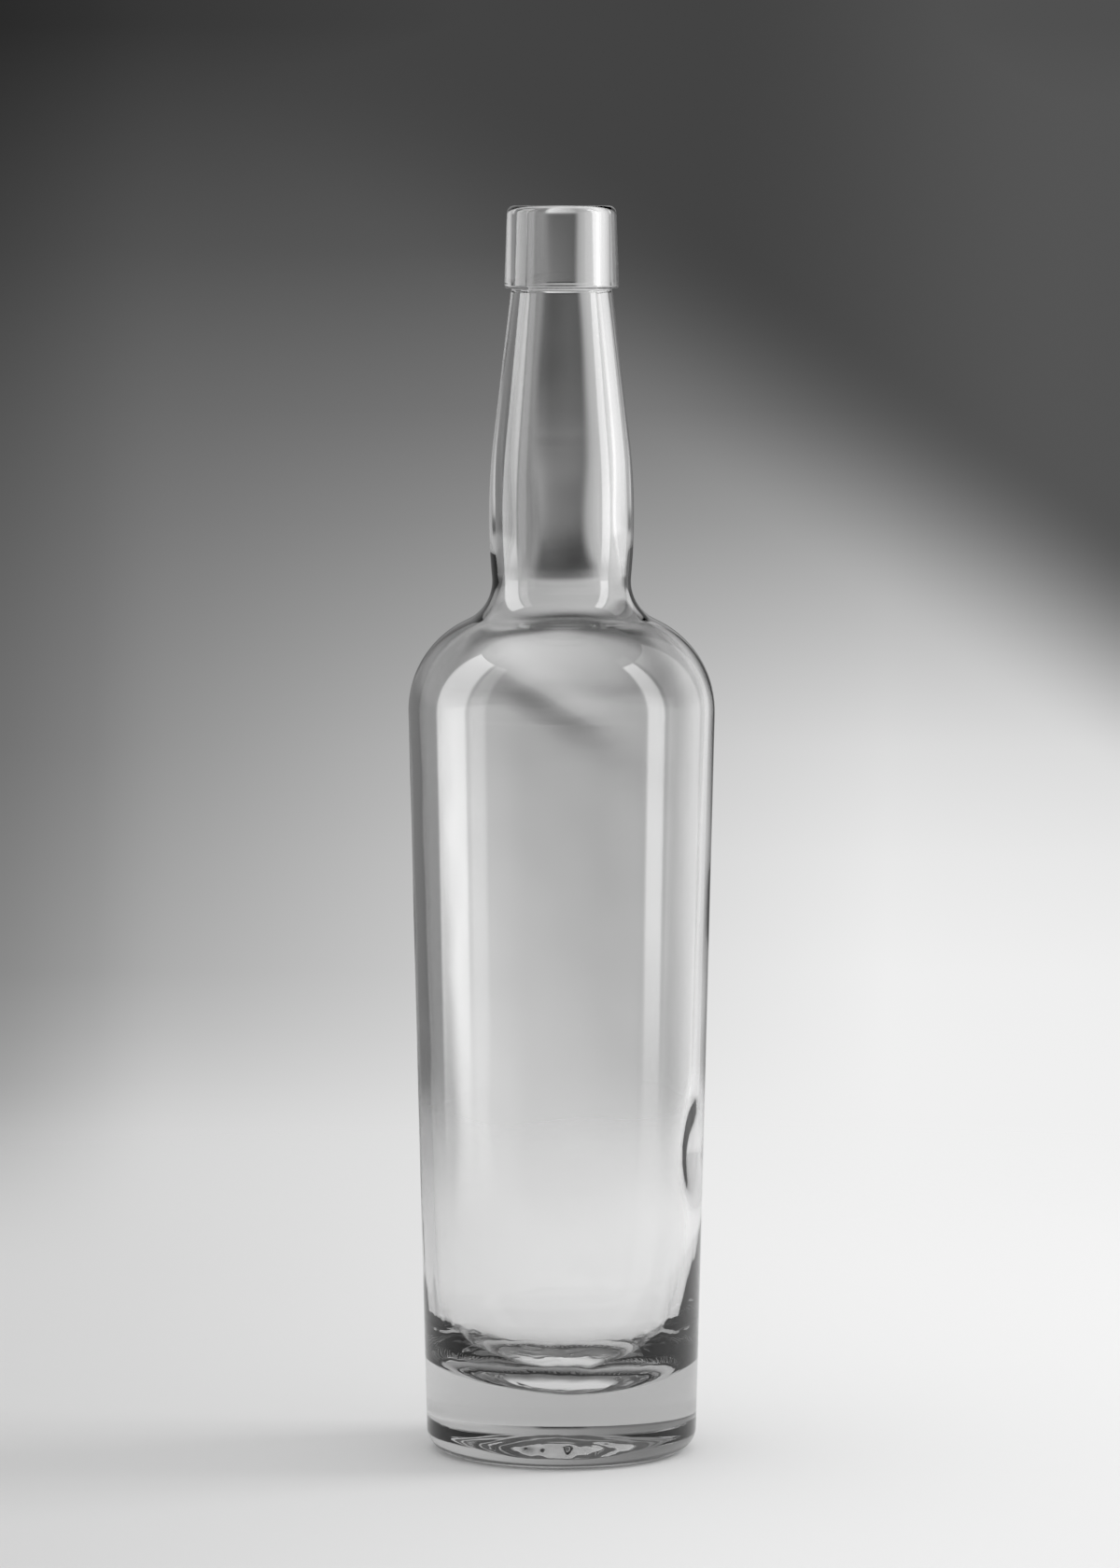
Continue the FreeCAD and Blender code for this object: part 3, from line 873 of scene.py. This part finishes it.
@dataclass(frozen=True)
class Surroundings:
    """The graded backdrop, the room beside it and the light boxes, painted on the sky by direction.

    Past the glass, the backdrop runs from dark at the top to pale at the table, by the grades of its left
    and right side between the heights low and high. A soft diagonal edge parts the dark corner from the lit
    side. Through the glass, another grade stands within the window, and the room and the ceiling beside and
    above it. Matt surfaces see the plain grey. Stops pair a place with a grey. The room, the window, the
    ceiling's rise and fall and the boxes are in degrees, and the other places are parts of a direction of
    length 1.
    """

    low: float = -0.2
    high: float = 0.03
    side: float = 0.08
    blend_left: float = 0.067
    blend_width: float = 0.114
    left: Stops = (
        (0.17, 0.77), (0.28, 0.64), (0.345, 0.455), (0.38, 0.376), (0.52, 0.254), (0.66, 0.171),
        (0.83, 0.084), (0.97, 0.035))
    right: Stops = (
        (0.17, 0.89), (0.38, 0.863), (0.45, 0.81), (0.52, 0.71), (0.59, 0.53), (0.66, 0.36),
        (0.73, 0.22), (0.83, 0.11), (0.97, 0.08))
    shade: tuple[float, float] = (0.056, 0.09)
    shade_span: tuple[float, float] = (0.02, 0.075)
    far_left: float = 0.62
    far_left_span: tuple[float, float] = (-0.055, -0.088)
    edge_height: float = -0.0085
    edge_slope: float = -0.72
    edge_softness: float = 0.019
    through: Stops = (
        (-0.16, 0.72), (-0.127, 0.634), (-0.107, 0.557), (-0.087, 0.478), (-0.081, 0.437),
        (-0.075, 0.36), (-0.066, 0.28), (-0.056, 0.205), (-0.040, 0.108), (-0.027, 0.065), (-0.005, 0.045))
    through_fall: float = 3.0
    room: Stops = (
        (-180.0, 0.12), (-130.0, 0.12), (-60.0, 0.13), (-10.0, 0.22), (8.0, 0.42), (25.0, 0.75),
        (60.0, 0.95), (130.0, 0.5), (150.0, 0.12), (180.0, 0.12))
    window: tuple[float, float] = (5.0, 9.0)
    ceiling: tuple[float, float] = (0.30, 0.70)
    ceiling_span: tuple[float, float] = (-0.5, 0.5)
    ceiling_rise: tuple[float, float] = (0.8, 5.5)
    ceiling_fall: tuple[float, float] = (17.0, 25.0)
    ceiling_top: float = 0.14
    plain: float = 0.84
    boxes: tuple[LightBox, ...] = (
        LightBox("right", 94.0, 114.0, -11.0, 50.0, 5.4, soft_bottom=3.6),
        LightBox("right_edge", 50.0, 94.0, -10.6, 50.0, 1.2, soft_bottom=3.2),
        LightBox("left", -105.0, -70.0, -11.0, 50.0, 4.7, soft_bottom=3.6),
        LightBox("left_edge", -123.0, -105.0, -10.6, 50.0, 1.5, soft_bottom=3.2),
        LightBox("right_flag", 10.0, 36.0, -60.0, 50.0, -0.45),
    )

    def make(self) -> bpy.types.World:
        """Paint the world. Only mirrors see its boxes, so it isn't sampled as a lamp.

        Returns:
            The world.
        """
        world = bpy.data.worlds.new("studio")
        world.use_nodes = True
        world.cycles.sampling_method = "NONE"
        bpy.context.scene.world = world
        graph = Graph(world.node_tree)
        place = graph.node("ShaderNodeTexCoord")
        split = graph.node("ShaderNodeSeparateXYZ")
        graph.put(place.outputs["Generated"], split.inputs["Vector"])
        across, ahead, up = split.outputs["X"], split.outputs["Y"], split.outputs["Z"]
        azimuth = graph.azimuth(across, ahead)
        elevation = graph.maths("MULTIPLY", graph.maths("ARCSINE", up), DEGREES)
        path = graph.node("ShaderNodeLightPath")
        mirrored = outer_mirror(graph, path)
        around = self.surround(graph, across, up, azimuth, elevation)
        glow = graph.maths("MULTIPLY", self.glow(graph, azimuth, elevation), mirrored)
        lit = graph.maths("ADD", around, glow)
        level = graph.mix(path.outputs["Is Camera Ray"], lit, self.backdrop(graph, across, up))
        matt = graph.between(path.outputs["Diffuse Depth"], NO_TIMES, ONCE)
        level = graph.mix(matt, level, self.plain)
        background = graph.node("ShaderNodeBackground")
        graph.put(level, background.inputs["Color"])
        output = graph.node("ShaderNodeOutputWorld")
        graph.put(background.outputs["Background"], output.inputs["Surface"])
        return world

    def backdrop(self, graph: Graph, across: bpy.types.NodeSocket,
                 up: bpy.types.NodeSocket) -> bpy.types.NodeSocket:
        """Paint what stands directly behind the bottle, as it is seen past the glass.

        Args:
            graph: the world's tree.
            across: the ray's direction to the right.
            up: its direction upwards.

        Returns:
            The grey's socket.
        """
        sideways = graph.maths("MAXIMUM", graph.maths("MINIMUM", across, self.side), -self.side)
        from_left = graph.maths("ADD", sideways, self.blend_left)
        share = graph.maths("DIVIDE", from_left, self.blend_width, clamp=True)
        above_low = graph.maths("SUBTRACT", up, self.low)
        climb = graph.maths("DIVIDE", above_low, self.high - self.low, clamp=True)
        lit = graph.mix(share, graph.ramp(climb, self.left), graph.ramp(climb, self.right))
        edge = graph.maths("MULTIPLY", sideways, self.edge_slope)
        above = graph.maths("SUBTRACT", graph.maths("SUBTRACT", up, edge), self.edge_height)
        dark = graph.between(above, -self.edge_softness, self.edge_softness)
        shade = graph.mix(graph.between(sideways, *self.shade_span), *self.shade)
        seen = graph.mix(dark, lit, graph.maths("MINIMUM", lit, shade))
        corner = graph.mix(graph.between(sideways, *self.far_left_span), 1.0, self.far_left)
        return graph.maths("MULTIPLY", seen, corner)

    def surround(self, graph: Graph, across: bpy.types.NodeSocket, up: bpy.types.NodeSocket,
                 azimuth: bpy.types.NodeSocket, elevation: bpy.types.NodeSocket) -> bpy.types.NodeSocket:
        """Paint what the glass shows: the backdrop through it, the room beside it and the ceiling.

        Args:
            graph: the world's tree.
            across: the ray's direction to the right.
            up: its direction upwards.
            azimuth: its azimuth.
            elevation: its elevation.

        Returns:
            The grey's socket.
        """
        low, high = self.through[0][0], self.through[-1][0]
        climb = graph.maths("DIVIDE", graph.maths("SUBTRACT", up, low), high - low, clamp=True)
        stops = tuple(((place - low) / (high - low), grey) for place, grey in self.through)
        fall = graph.maths("SUBTRACT", 1.0, graph.maths("MULTIPLY", across, self.through_fall))
        front = graph.maths("MULTIPLY", graph.ramp(climb, stops), fall)
        turn = graph.maths("ADD", graph.maths("DIVIDE", azimuth, CIRCLE), 0.5, clamp=True)
        beside = graph.ramp(turn, tuple((place / CIRCLE + 0.5, grey) for place, grey in self.room))
        wide = graph.between(graph.maths("ABSOLUTE", azimuth), *self.window)
        level = graph.mix(wide, front, beside)
        ceiling = graph.mix(graph.between(across, *self.ceiling_span), *self.ceiling)
        ceiling = graph.mix(graph.between(elevation, *self.ceiling_fall), ceiling, self.ceiling_top)
        return graph.mix(graph.between(elevation, *self.ceiling_rise), level, ceiling)

    def glow(self, graph: Graph, azimuth: bpy.types.NodeSocket, elevation: bpy.types.NodeSocket) -> Value:
        """Add up the light boxes.

        Args:
            graph: the world's tree.
            azimuth: the ray's azimuth.
            elevation: its elevation.

        Returns:
            The sum's socket.
        """
        glow: Value = 0.0
        for box in self.boxes:
            wide = graph.stretch(azimuth, (box.start, box.end), (box.soft_start, box.soft_end))
            tall = graph.stretch(elevation, (box.bottom, box.top), (box.soft_bottom, box.soft_top))
            lamp = graph.maths("MULTIPLY", graph.maths("MULTIPLY", wide, tall), box.strength)
            lamp.node.label = box.name
            glow = graph.maths("ADD", glow, lamp)
        return glow


@dataclass(frozen=True)
class Table:
    """The pale table top, which fades into the backdrop away from the bottle.

    Its colour is painted darker to the left, as painted shade of the light falling off. Seen through the
    glass, the spot under the bottle has a painted pool of light in that colour, standing in for the light
    that the glass gathers there.
    """

    radius: float = 1.2
    corners: int = 96
    solid: float = 0.30
    gone: float = 0.80
    # The painted pool of light under the bottle: full within the first radius and gone at the second, in
    # metres.
    painted_light_start: float = 0.014
    painted_light_end: float = 0.025
    # Painted shade: the table is coloured darker on the left and lighter on the right across this span of x,
    # for the light falling off to the left.
    shaded_left_tone: float = 0.65
    lit_right_tone: float = 0.87
    falloff_span: tuple[float, float] = (-0.25, 0.12)

    def make(self) -> bpy.types.Object:
        """Lay the table top.

        Returns:
            The table's object.
        """
        deselect()
        bpy.ops.mesh.primitive_circle_add(vertices=self.corners, radius=self.radius, fill_type="NGON",
                                          location=(0.0, 0.0, 0.0))
        table = bpy.context.object
        table.name = "table_top"
        table.data.materials.append(self.finish())
        return table

    def finish(self) -> bpy.types.Material:
        """Build the matt, pale finish with its fade, its painted shade to the left and its painted pool of
        light under the bottle.

        Returns:
            The table's material.
        """
        material = bpy.data.materials.new("pale_table_painted_shade_and_light")
        material.use_nodes = True
        graph = Graph(material.node_tree)
        place = graph.node("ShaderNodeTexCoord")
        split = graph.node("ShaderNodeSeparateXYZ")
        graph.put(place.outputs["Object"], split.inputs["Vector"])
        # The colour grades from dark on the left to light on the right: painted shade of the light falling
        # off.
        tone = graph.mix(graph.between(split.outputs["X"], *self.falloff_span), self.shaded_left_tone, self.lit_right_tone)
        matt = graph.node("ShaderNodeBsdfDiffuse")
        graph.put(tone, matt.inputs["Color"])
        far = graph.node("ShaderNodeVectorMath", operation="LENGTH")
        graph.put(place.outputs["Object"], far.inputs[0])
        fade = graph.between(far.outputs["Value"], self.gone, self.solid)
        # A painted pool of light under the bottle: an emission in the table's painted colour that only rays
        # through the glass see, standing in for the light that the glass gathers there.
        pale = graph.node("ShaderNodeEmission")
        graph.put(tone, pale.inputs["Color"])
        path = graph.node("ShaderNodeLightPath")
        under = graph.between(far.outputs["Value"], self.painted_light_end, self.painted_light_start)
        top = graph.node("ShaderNodeMixShader")
        graph.put(graph.maths("MULTIPLY", under, path.outputs["Is Transmission Ray"]), top.inputs["Fac"])
        graph.put(matt.outputs["BSDF"], top.inputs[1])
        graph.put(pale.outputs["Emission"], top.inputs[2])
        graph.surface(fade, top.outputs["Shader"])
        return material


@dataclass(frozen=True)
class Reflector:
    """A curved card close to the bottle that only reflections see, bright, or dark if it is a flag.

    Azimuths and soft edges are in degrees, heights and the radius in metres.
    """

    name: str
    start: float
    end: float
    bottom: float
    top: float
    strength: float
    radius: float = 0.12
    soft_start: float = 4.0
    soft_end: float = 4.0
    steps: int = 24

    def make(self) -> bpy.types.Object:
        """Bend the card round the bottle.

        Returns:
            The card's object.
        """
        deselect()
        first = math.radians(self.start)
        corner = (math.sin(first) * self.radius, math.cos(first) * self.radius, self.bottom)
        bpy.ops.mesh.primitive_plane_add(size=MM, location=corner)
        card = bpy.context.object
        card.name = self.name
        bpy.ops.object.transform_apply(location=True, rotation=True, scale=True)
        bpy.ops.object.mode_set(mode="EDIT")
        bpy.ops.mesh.select_all(action="SELECT")
        bpy.ops.mesh.merge(type="CENTER")
        move = {"value": (0.0, 0.0, self.top - self.bottom)}
        bpy.ops.mesh.extrude_region_move(TRANSFORM_OT_translate=move)
        bpy.ops.mesh.select_all(action="SELECT")
        bpy.ops.mesh.spin(steps=self.steps, angle=math.radians(self.end - self.start),
                          center=(0.0, 0.0, 0.0), axis=(0.0, 0.0, -1.0))
        bpy.ops.object.mode_set(mode="OBJECT")
        card.data.materials.append(self.finish())
        for kind in ("camera", "diffuse", "transmission", "volume_scatter", "shadow"):
            setattr(card, f"visible_{kind}", False)
        return card

    def finish(self) -> bpy.types.Material:
        """Build the glow, which fades towards the card's upright edges.

        Returns:
            The card's material.
        """
        material = bpy.data.materials.new(self.name)
        material.use_nodes = True
        graph = Graph(material.node_tree)
        place = graph.node("ShaderNodeTexCoord")
        split = graph.node("ShaderNodeSeparateXYZ")
        graph.put(place.outputs["Object"], split.inputs["Vector"])
        azimuth = graph.azimuth(split.outputs["X"], split.outputs["Y"])
        wide = graph.stretch(azimuth, (self.start, self.end), (self.soft_start, self.soft_end))
        glow = graph.node("ShaderNodeEmission")
        path = graph.node("ShaderNodeLightPath")
        lit = graph.maths("MULTIPLY", outer_mirror(graph, path), self.strength)
        graph.put(lit, glow.inputs["Strength"])
        graph.surface(wide, glow.outputs["Emission"])
        return material


@dataclass(frozen=True)
class NeckCards:
    """The cards round the neck and the mouth, with their heights in metres."""

    neck_bottom: float = 0.185
    flag_bottom: float = 0.218
    edge_bottom: float = 0.300
    neck_top: float = 0.314
    mouth_top: float = 0.36

    def make(self) -> list[bpy.types.Object]:
        """Stand the cards round the bottle.

        Returns:
            The cards' objects.
        """
        neck = (self.neck_bottom, self.neck_top)
        mouth = (self.neck_top, self.mouth_top)
        cards = (
            Reflector("right_neck_card", 57.0, 94.0, *neck, 16.0),
            Reflector("right_neck_dim_card", 94.0, 136.0, *neck, 3.0),
            Reflector("right_mouth_card", 92.0, 146.0, *mouth, 18.0),
            Reflector("left_neck_card", -166.0, -112.0, *neck, 9.0, soft_start=34.0),
            Reflector("left_neck_flag", -110.0, -50.0, self.flag_bottom, self.neck_top, 0.15),
            Reflector("left_edge_card", -58.0, -22.0, self.edge_bottom, self.mouth_top, 4.5),
            Reflector("left_mouth_card", -154.0, -130.0, *mouth, 5.0, soft_start=14.0),
        )
        return [card.make() for card in cards]


@dataclass(frozen=True)
class KeyLamp:
    """A large soft lamp high on the right, which gives the table its soft shadow."""

    place: tuple[float, float, float] = (1.0, 0.15, 0.75)
    target: tuple[float, float, float] = (0.0, 0.0, 0.05)
    width: float = 0.5
    tall: float = 0.7
    power: float = 4.5

    def make(self) -> bpy.types.Object:
        """Hang the lamp.

        Returns:
            The lamp's object.
        """
        light = bpy.data.lights.new("key_lamp", "AREA")
        light.shape = "RECTANGLE"
        light.size = self.width
        light.size_y = self.tall
        light.energy = self.power
        lamp = bpy.data.objects.new("key_lamp", light)
        bpy.context.collection.objects.link(lamp)
        lamp.location = self.place
        aim = Vector(self.target) - Vector(self.place)
        lamp.rotation_euler = aim.to_track_quat("-Z", "Y").to_euler()
        lamp.visible_glossy = False
        lamp.visible_transmission = False
        return lamp


@dataclass(frozen=True)
class Camera:
    """A long lens, a little above the mouth, that looks slightly down.

    Places are in metres, the lens and the sensor's width in millimetres.
    """

    distance: float = 1.8
    height: float = 0.33
    pitch: float = 4.925
    lens: float = 159.26
    sensor: float = 36.0
    farthest: float = 50.0
    offset: float = -0.0004

    def make(self) -> bpy.types.Object:
        """Set up the camera.

        Returns:
            The camera's object.
        """
        data = bpy.data.cameras.new("camera")
        data.lens = self.lens
        data.sensor_width = self.sensor
        data.clip_end = self.farthest
        camera = bpy.data.objects.new("camera", data)
        bpy.context.collection.objects.link(camera)
        camera.location = (self.offset, -self.distance, self.height)
        camera.rotation_euler = (math.radians(CIRCLE / 4 - self.pitch), 0.0, 0.0)
        bpy.context.scene.camera = camera
        return camera


def main() -> None:
    """Build the scene, piece by piece, and report each."""
    logging.basicConfig(level=logging.INFO, format="%(message)s")
    bpy.context.scene.view_settings.view_transform = "Standard"
    studio = [Camera().make(), Surroundings().make(), KeyLamp().make(), Table().make(), *NeckCards().make()]
    LOG.info("studio: %s", ", ".join(made.name for made in studio))
    low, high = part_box(NODE)
    bottle = Bottle(height=(high[2] - low[2]) / MM)
    piece = bottle.build(ClearGlass())
    LOG.info("%s: %d vertices, %d faces", piece.name, len(piece.data.vertices), len(piece.data.polygons))


if __name__ == "__main__":
    main()
